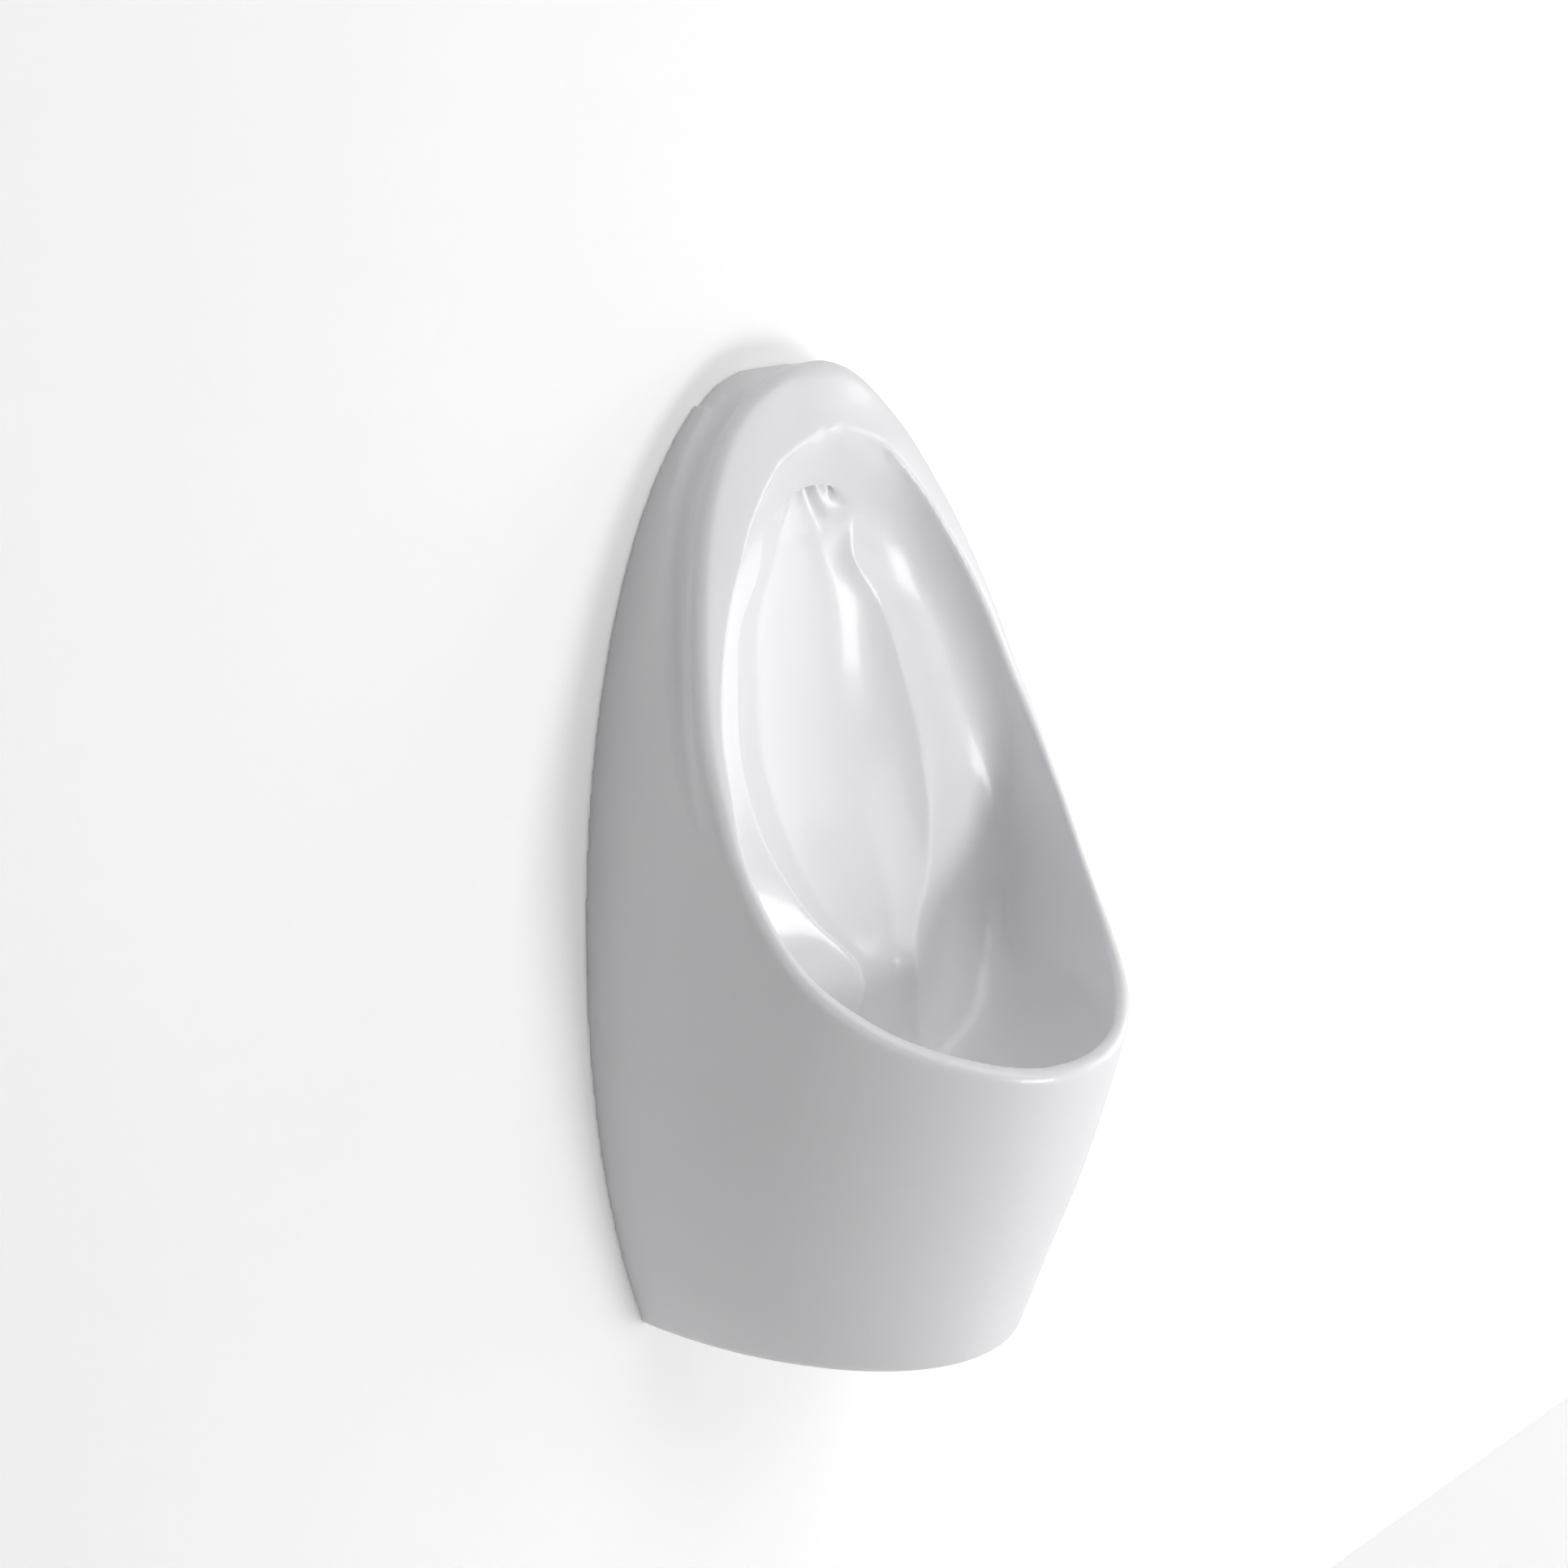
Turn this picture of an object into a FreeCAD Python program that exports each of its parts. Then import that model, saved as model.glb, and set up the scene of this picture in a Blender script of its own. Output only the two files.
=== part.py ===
import FreeCAD, Part
import math
import os
import re
import Sketcher

# Wall hung urinal. X runs to the right seen from the front, Y runs into the wall, Z runs up.
# Levels are measured up from the body's bottom edge; the last step moves every piece down so that the
# origin is on the wall plane in the middle of the four screws. "front" sizes are distances out from the wall.

os.makedirs("parts", exist_ok=True)
doc = FreeCAD.newDocument("urinal")
sheet = doc.addObject("Spreadsheet::Sheet", "Sizes")

SIZES = [
    # ceramic body: outer shape
    ("body_half_width", 175), ("widest_level", 275), ("rim_top_level", 657), ("ledge_level", 650),
    ("base_half_width", 126), ("front_reach", 286), ("base_reach", 206.5), ("ledge_depth", 34),
    ("ledge_half_width", 56), ("ledge_drop", 12.5), ("wall_thick", 10), ("base_round", 9),
    ("rim_round_top", 16), ("rim_round_front", 6.5), ("rim_inner_round", 3),
    ("cove_radius", 12), ("cove_depth", 6), ("cove_set_back", 20),
    # recess behind the hood, water inlet
    ("inlet_level", 590), ("inlet_hole_radius", 11.5), ("web_back", 19), ("web_thick", 8),
    ("recess_front", 40.5), ("recess_relief", 1.5),
    ("tail_radius", 10.48), ("tail_bore", 6.5), ("tail_flange_radius", 17), ("tail_flange_thick", 3),
    ("inlet_gasket_thick", 2), ("spray_gasket_thick", 1.2), ("spray_nut_thick", 3.8),
    ("spray_radius", 13), ("spray_length", 9.7), ("spray_wall", 1.8), ("thread_gap", 0.3),
    # waste outlet
    ("drain_front", 145), ("seat_level", 163), ("floor_thick", 12), ("drain_hole_radius", 24),
    ("sump_radius", 42), ("waste_radius", 21.5), ("waste_bore", 18.5), ("waste_bottom", 116),
    ("flange_radius", 35), ("flange_thick", 3), ("gasket_thick", 2), ("lower_gasket_thick", 3),
    ("washer_thick", 1.5), ("waste_nut_thick", 10), ("waste_nut_radius", 35),
    ("dome_base_radius", 29), ("dome_sphere_radius", 50), ("dome_thick", 2.5), ("grid_hole_radius", 2.6),
    ("spigot_radius", 18.2), ("spigot_wall", 1.6), ("spigot_length", 12),
    # bottle trap
    ("trap_radius", 33), ("trap_wall", 3), ("trap_bottom", 50), ("trap_top", 111),
    ("neck_radius", 28), ("neck_top", 125), ("neck_bore", 23), ("dip_radius", 19.5), ("dip_wall", 2),
    ("dip_bottom", 24), ("dip_flange_thick", 2), ("trap_nut_radius", 33.5), ("trap_seal_thick", 4),
    ("cup_radius", 36.5), ("cup_top", 64), ("cup_bottom", 10), ("cup_floor", 3),
    ("cup_ring_thick", 3.6), ("fit_gap", 0.3),
    # outlet pipe
    ("outlet_level", 88), ("pipe_radius", 20), ("pipe_bore", 18), ("pipe_end", 102),
    ("socket_radius", 25.5), ("socket_end", 88), ("socket_length", 18), ("branch_radius", 20.6),
    ("pipe_free", 79.5), ("spigot_step", 0.3),
    ("outlet_nut_radius", 31), ("outlet_lip_thick", 4), ("outlet_seal_thick", 1.8),
    # hangers
    ("hanger_offset", 95), ("hanger_width", 36), ("hanger_steel", 4), ("hanger_bottom", 428),
    ("shelf_level", 486), ("hook_front", 13), ("hook_top", 508), ("pad_thick", 3), ("pad_depth", 9),
    ("screw_hole_radius", 3.25), ("screw_low", 440), ("screw_high", 470), ("origin_level", 455),
    ("lug_height", 40), ("lug_depth", 30), ("lug_inner", 72), ("slot_gap", 0.7),
]
for row, (alias, size) in enumerate(SIZES, 1):
    sheet.set("A%d" % row, alias)
    sheet.set("B%d" % row, str(size))
    sheet.setAlias("B%d" % row, alias)
doc.recompute()
NAMES = {alias for alias, size in SIZES}


def bound(text):
    """The expression with every size name pointed at the sheet."""
    def pointed(match):
        word = match.group(0)
        return "Sizes." + word if word in NAMES else word

    return re.sub(r"[a-z_]+", pointed, str(text))


def size(text):
    """The present value of an expression in size names."""
    return float(re.sub("[^0-9.eE+-].*$", "", str(sheet.evalExpression(bound(text)))))


def bind(thing, **links):
    for key, text in links.items():
        thing.setExpression(key.replace("__", "."), bound(text))
    return thing


def at(thing, x="0", y="0", z="0"):
    """Places a thing at bound coordinates."""
    for key, text in zip("xyz", (x, y, z)):
        thing.setExpression("Placement.Base." + key, bound(text))
    return thing


def facing_front(thing):
    """Turns the local Z axis to point out from the wall."""
    thing.Placement = FreeCAD.Placement(FreeCAD.Vector(), FreeCAD.Rotation(FreeCAD.Vector(1, 0, 0), 90))
    return thing


def cylinder(name, radius, height, x="0", y="0", z="0", front=False):
    rod = bind(doc.addObject("Part::Cylinder", name), Radius=radius, Height=height)
    if front:
        facing_front(rod)
    return at(rod, x, y, z)


def box(name, length, width, height, x="0", y="0", z="0"):
    block = bind(doc.addObject("Part::Box", name), Length=length, Width=width, Height=height)
    return at(block, x, y, z)


def fused(name, things):
    joined = doc.addObject("Part::MultiFuse", name)
    joined.Shapes = things
    return joined


def cut(name, base, tool):
    rest = doc.addObject("Part::Cut", name)
    rest.Base = base
    rest.Tool = tool
    return rest


def outline(body, role, name, points):
    """A closed sketch of straight lines whose corners are bound to sizes."""
    sketch = body.newObject("Sketcher::SketchObject", name)
    plane = [f for f in body.Origin.OriginFeatures if f.Role == role][0]
    sketch.AttachmentSupport = (plane, "")
    sketch.MapMode = "FlatFace"
    spots = [FreeCAD.Vector(size(a), size(b), 0) for a, b in points]
    for start, end in zip(spots, spots[1:] + spots[:1]):
        sketch.addGeometry(Part.LineSegment(start, end), False)
    count = len(spots)
    for i in range(count):
        sketch.addConstraint(Sketcher.Constraint("Coincident", i, 2, (i + 1) % count, 1))
    for i, (a, b) in enumerate(points):
        for kind, text in (("DistanceX", a), ("DistanceY", b)):
            spot = sketch.addConstraint(Sketcher.Constraint(kind, -1, 1, i, 1, size(text)))
            sketch.setExpression("Constraints[%d]" % spot, bound(text))
    return sketch


def turned(name, points, front=False, y="0", z="0"):
    """A body turned about its own Z axis from (radius, level) corners."""
    body = doc.addObject("PartDesign::Body", name)
    sketch = outline(body, "XZ_Plane", name + "_outline", points)
    turn = body.newObject("PartDesign::Revolution", name + "_turn")
    turn.Profile = sketch
    turn.ReferenceAxis = (sketch, ["V_Axis"])
    turn.Angle = 360
    if front:
        facing_front(body)
    return at(body, "0", y, z)


def ring(name, outer, inner, low, high, **spot):
    return turned(name, [(inner, low), (outer, low), (outer, high), (inner, high)], **spot)


def hexagon(name, corner_radius, bore, thick, y="0", z="0", front=False):
    """A hexagonal nut."""
    blank = bind(doc.addObject("Part::Prism", name + "_blank"), Circumradius=corner_radius, Height=thick)
    blank.Polygon = 6
    hole = cylinder(name + "_bore", bore, thick + " + 2")
    if front:
        facing_front(blank)
        facing_front(hole)
    at(blank, "0", y, z)
    if front:
        at(hole, "0", y + " + 1", z)
    else:
        at(hole, "0", y, z + " - 1")
    return cut(name, blank, hole)


# ------------------------------------------------------------------ ceramic body

def value(alias):
    return float(sheet.get(alias))


HALF = value("body_half_width")
WIDE = value("widest_level")
TOP = value("rim_top_level")
REACH = value("front_reach")
WALL = value("wall_thick")
SEAT = value("seat_level")
DRAIN = value("drain_front")


def table(rows):
    """A smooth curve through (level, number, ...) rows, read at any level."""
    levels = [r[0] for r in rows]
    last = len(rows) - 1

    def read(level, column=1):
        if level <= levels[0]:
            return rows[0][column]
        if level >= levels[-1]:
            return rows[-1][column]
        i = max(k for k in range(last) if levels[k] <= level)
        span = levels[i + 1] - levels[i]
        slopes = []
        for k in (i, i + 1):
            before, after = max(k - 1, 0), min(k + 1, last)
            slopes.append((rows[after][column] - rows[before][column]) / (levels[after] - levels[before]))
        t = (level - levels[i]) / span
        return ((2 * t ** 3 - 3 * t ** 2 + 1) * rows[i][column] + (t ** 3 - 2 * t ** 2 + t) * span * slopes[0]
                + (3 * t ** 2 - 2 * t ** 3) * rows[i + 1][column] + (t ** 3 - t ** 2) * span * slopes[1])

    return read


def half_width(level):
    """Half width of the body against the wall."""
    if level >= WIDE:
        share = min((level - WIDE) / (TOP - WIDE), 1)
        return HALF * (1 - share ** 2.1) ** (1 / 2.1)
    run = WIDE / math.sqrt(1 - (value("base_half_width") / HALF) ** 2)
    return HALF * math.sqrt(1 - ((WIDE - level) / run) ** 2)


BASE_REACH = value("base_reach")
# level, share of the way from the base's reach to the front's reach, squareness of the plan
FRONT = table([(0, 0, 2.05), (60, 0.255, 2.05), (120, 0.54, 2.05), (180, 0.78, 2.05), (228, 0.94, 2.08),
               (276, 1, 2.3), (325, 1, 2.6), (375, 1, 3.0), (430, 1, 3.5), (490, 1, 4), (660, 1, 4)])


def plan_point(level, inset, angle):
    """A point of the body's plan at a level, from the right side (0) round the front to the left (pi)."""
    width = half_width(level) - inset
    reach = BASE_REACH + FRONT(level) * (REACH - BASE_REACH) - inset
    power = 2 / FRONT(level, 2)
    across = math.copysign(abs(math.cos(angle)) ** power, math.cos(angle))
    return width * across, reach * abs(math.sin(angle)) ** power


def outer_section(level, inset, back, steps):
    """Plan of the body at a level as a wire: a front curve, and lines along the wall."""
    spots = []
    for i in range(steps + 1):
        x, out = plan_point(level, inset, math.pi * i / steps)
        spots.append(FreeCAD.Vector(x, -out, level))
    spots[0].y = spots[-1].y = 0
    curve = Part.BSplineCurve()
    curve.interpolate(spots)
    left, right = spots[-1], spots[0]
    corners = [left, right]
    if back:
        corners = [left, FreeCAD.Vector(left.x, back, level), FreeCAD.Vector(right.x, back, level), right]
    lines = [Part.makeLine(a, b) for a, b in zip(corners, corners[1:])]
    return Part.Wire([curve.toShape()] + lines)


def outer_solid(levels, inset=0, back=0, steps=28):
    return Part.makeLoft([outer_section(level, inset, back, steps) for level in levels], True, False)


# cavity: level, half width of the ridge, its distance out, distance out on the centre line,
# thickness of the side wall or half width, distance out where the front curve starts, front reach
CAVITY = [
    (163, 30, 114, 104, 42, 145, 187),
    (170, 36, 109, 98, 72, 143, 209),
    (182, 40, 106, 96, 98, 138, 231),
    (198, 40, 107, 98, 120, 130, 249),
    (216, 35, 111, 102, 134, 121, 262),
    (234, 30, 114, 105, 158, 112, 272),
    (252, 27, 115, 106, 162, 108, 274),
    (270, 33, 109, 101, 164, 108, 275),
    (292, 53, 100, 87, 166, 108, 276),
    (312, 67, 93, 74, 166, 108, 276),
    (340, 80, 83, 58, 164, 108, 276),
    (374, 87, 70, 44, 159, 108, 276),
    (404, 88, 61, 35, 152, 104, 276),
    (433, 84, 54, 30, 145, 98, 276),
    (463, 78, 48, 27.5, 136.5, 90, 276),
    (492, 67, 41, 26.5, 125.5, 84, 276),
    (522, 47, 38, 26.8, 110.5, 79, 276),
    (550, 44, 40, 31, 93, 73, 276),
    (565, 36, 43, 37.5, 83, 69, 276),
    (580, 27, 48, 45, 70.5, 65, 276),
    (598, 18, 56, 54, 51, 61, 276),
    (609, 12, 59.6, 58.8, 31, 62, 276),
    (616, 5, 60.6, 60.3, 9, 62.5, 276),
]


def cavity_section(row, grow):
    """Plan of the bowl's inside at a level: a back curve from ridge to ridge, and the rest."""
    level, ridge, ridge_out, centre_out, width, start_out, reach = row
    if grow:
        ridge = ridge + 0.4 * grow
        ridge_out = ridge_out - grow
        centre_out = centre_out - grow
        width = width + grow
        reach = reach + grow
    power = 2 / max(FRONT(level, 2), 2)
    right = []
    turn = math.asin(min(start_out / reach, 1) ** (1 / power)) if level >= 234 else 0
    steps = 12
    for i in range(steps):
        angle = turn + (math.pi / 2 - turn) * i / steps
        if level >= 234:
            right.append((width * math.cos(angle) ** power, reach * math.sin(angle) ** power))
        else:
            right.append((width * math.cos(angle), start_out + (reach - start_out) * math.sin(angle)))
    first = right[0]
    way_x = first[0] - right[1][0]
    way_out = first[1] - right[1][1]
    if level < 234:
        way_x = 0
    long = math.hypot(way_x, way_out)
    pull = 0.5 * math.hypot(first[0] - ridge, first[1] - ridge_out)
    bend = (first[0] + way_x / long * pull, first[1] + way_out / long * pull)
    smooth = min(max((level - 540) / 30, 0), 1)
    in_line = ridge_out + 2 * (ridge_out - centre_out) / ridge * (bend[0] - ridge)
    bend = (bend[0], (1 - smooth) * bend[1] + smooth * min(in_line, first[1] - 2))
    side = []
    steps = 7
    for i in range(steps):
        t = i / steps
        side.append(tuple((1 - t) ** 2 * a + 2 * t * (1 - t) * b + t ** 2 * c
                          for a, b, c in zip((ridge, ridge_out), bend, first)))
    right = side + right
    spots = [FreeCAD.Vector(x, -out, level) for x, out in right]
    spots.append(FreeCAD.Vector(0, -reach, level))
    spots += [FreeCAD.Vector(-x, -out, level) for x, out in reversed(right)]
    curve = Part.BSplineCurve()
    curve.interpolate(spots)
    back = []
    for k in range(-5, 6):
        share = k / 5
        out = centre_out + (ridge_out - centre_out) * abs(share) ** (3.2 if level < 530 else 2)
        back.append(FreeCAD.Vector(ridge * share, -out, level))
    back_curve = Part.BSplineCurve()
    back_curve.interpolate(back)
    return Part.Wire([curve.toShape(), back_curve.toShape()])


def cavity_solid(grow=0, rows=CAVITY):
    wires = []
    for row in rows:
        level = row[0]
        if grow and row is rows[0]:
            level = level - value("floor_thick")
        if grow and row is rows[-1]:
            level = level + grow
        wires.append(cavity_section((level,) + row[1:], grow))
    return Part.makeLoft(wires, True, False)


# rim face: distance out and level on the centre line, fall towards the sides
RIM = [
    (36, 690, 0.0030), (41, 674, 0.0030), (47, 657, 0.0030), (53.5, 636, 0.0028), (60, 616, 0.0024),
    (66, 603, 0.0022), (75.6, 578, 0.0019), (85.5, 550, 0.0016), (93.4, 522, 0.0013), (100, 492, 0.0010),
    (107.5, 463, 0.00085), (117, 433, 0.00078), (128.5, 404, 0.0007), (141.6, 374, 0.0007),
    (154, 346, 0.0006), (167.5, 319, 0.0005), (183, 295, 0.0004), (201, 276, 0.0003),
    (220, 261, 0.0002), (240, 249, 0.0001), (258, 239, 0.00005), (275, 230, 0), (292, 224, 0), (312, 219, 0),
]


def front_space(back_off):
    """Everything in front of and above the rim's face."""
    grid = []
    for out, level, fall in RIM:
        line = []
        for k in range(-6, 7):
            x = k * 200 / 6
            line.append(FreeCAD.Vector(x, -(out - fall * x * x) + back_off, level - back_off))
        grid.append(line)
    skin = Part.BSplineSurface()
    skin.interpolate(grid)
    return skin.toShape().extrude(FreeCAD.Vector(0, -420, 420))


def ledge_space(drop, depth, back):
    """Everything above the ledge, back from the rim."""
    span = value("ledge_half_width")
    fall = value("ledge_drop")
    level = value("ledge_level") - drop
    flat = 15
    end = span + 12 + drop
    bow = ((span - flat) ** 2 + fall ** 2) / (2 * fall)

    def corner(x, height):
        return FreeCAD.Vector(x, back, height)

    def edge_point(x):
        return corner(x, level - bow + math.sqrt(bow ** 2 - (abs(x) - flat) ** 2))

    middle = 0.5 * (flat + end)
    high = TOP + 40
    edges = [
        Part.Arc(edge_point(flat), edge_point(middle), edge_point(end)).toShape(),
        Part.makeLine(edge_point(end), corner(end, high)),
        Part.makeLine(corner(end, high), corner(-end, high)),
        Part.makeLine(corner(-end, high), edge_point(-end)),
        Part.Arc(edge_point(-end), edge_point(-middle), edge_point(-flat)).toShape(),
        Part.makeLine(edge_point(-flat), edge_point(flat)),
    ]
    return Part.Face(Part.Wire(edges)).extrude(FreeCAD.Vector(0, -depth - back, 0))


# recess behind the hood: level, half width, half width of the ridge, its distance out
RECESS = [(505, 45, 38, 36), (530, 45, 40, 36), (550, 42, 26, 35), (571, 42, 12, 34), (590, 36, 6, 34),
          (603, 24, 4, 35), (609, 12, 3, 36)]


def recess_solid(grow):
    """The right half of the space behind the hood for the spray head."""
    back = value("web_back") + value("web_thick") + value("recess_relief") - grow
    front = value("recess_front") + grow
    wires = []
    for level, half, ridge, ridge_out in RECESS:
        half = half + grow
        ridge = ridge + 0.4 * grow
        ridge_out = ridge_out - grow
        spots = [FreeCAD.Vector(-2, -back, level)]
        for k in range(6):
            share = k / 5
            out = back + (ridge_out - back) * share ** 3.2
            spots.append(FreeCAD.Vector(ridge * share, -out, level))
        curve = Part.BSplineCurve()
        curve.interpolate(spots)
        corners = [spots[-1], FreeCAD.Vector(half, -front, level), FreeCAD.Vector(-2, -front, level),
                   spots[0]]
        lines = [Part.makeLine(a, b) for a, b in zip(corners, corners[1:])]
        wires.append(Part.Wire([curve.toShape()] + lines))
    if grow:
        wires[-1].translate(FreeCAD.Vector(0, 0, grow))
    return Part.makeLoft(wires, True, False)


def cove_tool(side):
    """A round bar that follows the rim's back edge along one side and comes away lower down."""
    radius = value("cove_radius")
    spots = []
    for out, level, fall in RIM:
        if level not in (636, 603, 550, 492, 433, 374, 319):
            continue
        width = half_width(level)
        depth = value("cove_depth") * min(1, (level - 330) / 150) - 0.02 * max(0, 380 - level)
        edge_out = out - fall * width * width
        lean = math.atan2(width - half_width(level + 4), 4)
        reach = radius - depth
        spots.append(FreeCAD.Vector(side * (width + reach * math.cos(lean)),
                                    -(edge_out - value("cove_set_back")), level + reach * math.sin(lean)))
    spots.insert(0, spots[0] + (spots[0] - spots[1]) * 0.5)
    path = Part.BSplineCurve()
    path.interpolate(spots)
    loops = []
    for spot in spots:
        way = path.tangent(path.parameter(spot))[0]
        loops.append(Part.Wire(Part.makeCircle(radius, spot, way)))
    return Part.makeLoft(loops, True, False)


LEVELS = [0, 20, 45, 75, 110, 150, 190, 228, 255, 276, 300, 325, 350, 375, 400, 430, 460, 490, 520, 550,
          575, 595, 612, 626, 638, 647, 653, 656.3]
INNER_LEVELS = [0, 45, 110, 180, 228, 276, 325, 375, 430, 490, 550, 595, 626, 640, 646]
right_half = Part.makeBox(400, 500, 900, FreeCAD.Vector(0, -400, -50))


def edges_of(shape, test):
    return [edge for edge in shape.Edges if test(edge.BoundBox, edge)]


def biggest(shape):
    return max(shape.Solids, key=lambda solid: solid.Volume)


# right half of the outside with a rounded foot, cut by the rim's face
china = outer_solid(LEVELS).common(right_half)
foot = edges_of(china, lambda box, edge: box.ZMax < 1 and box.XLength > 50 and box.YLength > 50)
china = china.makeFillet(value("base_round"), foot)
china = biggest(china.cut(front_space(0)))

# the bowl and the space behind the hood
china = biggest(china.cut(cavity_solid().common(right_half)))
china = biggest(china.cut(recess_solid(0)))

# the hollow behind and below the bowl, open at the back and underneath
below = Part.Face(outer_section(0, WALL, 1, 14)).extrude(FreeCAD.Vector(0, 0, -5))
hollow = outer_solid(INNER_LEVELS, WALL, 1, 14).fuse(below).common(right_half)
hollow = hollow.cut(front_space(WALL + 2))
hollow = hollow.cut(ledge_space(WALL, value("ledge_depth") + WALL, 1))
hollow = hollow.cut(cavity_solid(WALL, CAVITY[:-1:2] + CAVITY[-1:]))
hollow = hollow.cut(recess_solid(value("web_thick")))
boss = Part.makeCylinder(value("sump_radius") + 2, 40, FreeCAD.Vector(0, -DRAIN, SEAT - value("floor_thick")))
hollow = hollow.cut(boss)
back = value("web_back")
pocket_radius = value("spray_radius") + 4
inlet_boss = Part.makeCylinder(pocket_radius + value("web_thick"), 60,
                               FreeCAD.Vector(0, -back, value("inlet_level")), FreeCAD.Vector(0, -1, 0))
hollow = hollow.cut(inlet_boss)
lug_low = value("shelf_level") + value("pad_thick")
lug = Part.makeBox(200, value("lug_depth") + 1, value("lug_height"),
                   FreeCAD.Vector(value("lug_inner"), -value("lug_depth"), lug_low))
hollow = biggest(hollow.cut(lug))
china = biggest(china.cut(hollow))

# slot for the hanger's hook, water inlet hole, waste outlet
gap = value("slot_gap")
slot_front = value("hook_front") + value("hanger_steel") + gap
slot = Part.makeBox(value("hanger_width") + 2 * gap + 4, value("hanger_steel") + 2 * gap, 30,
                    FreeCAD.Vector(value("hanger_offset") - value("hanger_width") / 2 - gap - 2, -slot_front,
                                   lug_low - 1))
inlet = Part.makeCylinder(value("inlet_hole_radius"), value("web_back") + value("web_thick") + 1,
                          FreeCAD.Vector(0, 1, value("inlet_level")), FreeCAD.Vector(0, -1, 0))
drain = Part.makeCylinder(value("drain_hole_radius"), 60, FreeCAD.Vector(0, -DRAIN, SEAT - 40))
seat = Part.makeCylinder(value("flange_radius") + 3, 12, FreeCAD.Vector(0, -DRAIN, SEAT))
pocket = Part.makeCylinder(pocket_radius, value("recess_front") - 1 - back - value("web_thick"),
                           FreeCAD.Vector(0, -back - value("web_thick"), value("inlet_level")),
                           FreeCAD.Vector(0, -1, 0))
for tool in (slot, inlet, pocket, drain, seat):
    china = biggest(china.cut(tool.common(right_half)))

# rounded rim: wide at the top, narrow at the front, and a small round on the inside
long_edges = edges_of(china, lambda box, edge: box.XMax > 100 and box.YMin < -250 and box.YMax < -30
                      and box.ZMin > 200 and box.ZMax > 560)
rim = max(long_edges, key=lambda edge: edge.BoundBox.ZMax)
lip = max((edge for edge in long_edges if edge.BoundBox.ZMax < 625), key=lambda edge: edge.Length)
rounds = [value("rim_round_top"), value("rim_round_front")]
if rim.Vertexes[0].Point.z < rim.Vertexes[-1].Point.z:
    rounds.reverse()
china = china.makeFillet(rounds[0], rounds[1], [rim])
lip = [edge for edge in china.Edges if abs(edge.Length - lip.Length) < 0.5 and edge.BoundBox.ZMax < 625]
china = biggest(china.makeFillet(value("rim_inner_round"), lip))

# the ledge on top and the cove behind the rim
china = biggest(china.cut(ledge_space(0, value("ledge_depth"), 1)))
china = biggest(china.cut(cove_tool(1)))

# the left half is the mirror image; the two are joined along the centre plane
left = china.mirror(FreeCAD.Vector(0, 0, 0), FreeCAD.Vector(1, 0, 0))
skins = [face for face in china.Faces + left.Faces if abs(face.CenterOfMass.x) > 0.01]
shell = Part.makeShell(skins)
shell.sewShape()
whole = Part.makeSolid(shell)
if whole.Volume < 0:
    whole.reverse()
body = doc.addObject("Part::Feature", "ceramic_body")
body.Shape = whole

# ------------------------------------------------------------------ water inlet and spray head

inlet_tail = turned("inlet_tail", [
    ("tail_bore", "0"), ("tail_radius", "0"),
    ("tail_radius", "web_back - inlet_gasket_thick - tail_flange_thick"),
    ("tail_flange_radius", "web_back - inlet_gasket_thick - tail_flange_thick"),
    ("tail_flange_radius", "web_back - inlet_gasket_thick"),
    ("tail_radius", "web_back - inlet_gasket_thick"),
    ("tail_radius", "web_back + web_thick + spray_length - 2.5"),
    ("tail_bore", "web_back + web_thick + spray_length - 2.5"),
], front=True, z="inlet_level")
inlet_gasket = ring("inlet_gasket", "tail_flange_radius", "tail_radius + thread_gap",
                    "web_back - inlet_gasket_thick", "web_back", front=True, z="inlet_level")
spray_gasket = ring("spray_gasket", "spray_radius + 2", "tail_radius + thread_gap", "web_back + web_thick",
                    "web_back + web_thick + spray_gasket_thick", front=True, z="inlet_level")
spray_nut = hexagon("spray_nut", "spray_radius + 2", "tail_radius + 0.1", "spray_nut_thick",
                    "-web_back - web_thick - spray_gasket_thick", "inlet_level", True)
SPRAY_BACK = "-web_back - web_thick - spray_gasket_thick - spray_nut_thick"
SPRAY_CLEAR = "spray_length - spray_gasket_thick - spray_nut_thick"
spray_cap = cylinder("spray_cap", "spray_radius", SPRAY_CLEAR + " + 1.8", "0", SPRAY_BACK + " - 0.2",
                     "inlet_level", True)
spray_bore = cylinder("spray_bore", "tail_radius + 0.1", SPRAY_CLEAR + " + 1", "0", SPRAY_BACK + " + 0.8",
                      "inlet_level", True)
jets = []
for number, spread in enumerate((-50, -25, 0, 25, 50)):
    jet = doc.addObject("Part::Cylinder", "spray_jet_%d" % number)
    bind(jet, Radius="1.1", Height="spray_radius + 4")
    turned_down = FreeCAD.Rotation(FreeCAD.Vector(0, 1, 0), 180 + spread)
    jet.Placement = FreeCAD.Placement(FreeCAD.Vector(), turned_down)
    jets.append(at(jet, "0", "-web_back - web_thick - spray_length + 1.3", "inlet_level"))
spray_head = cut("spray_head", spray_cap, fused("spray_openings", [spray_bore] + jets))

# ------------------------------------------------------------------ waste outlet

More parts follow.
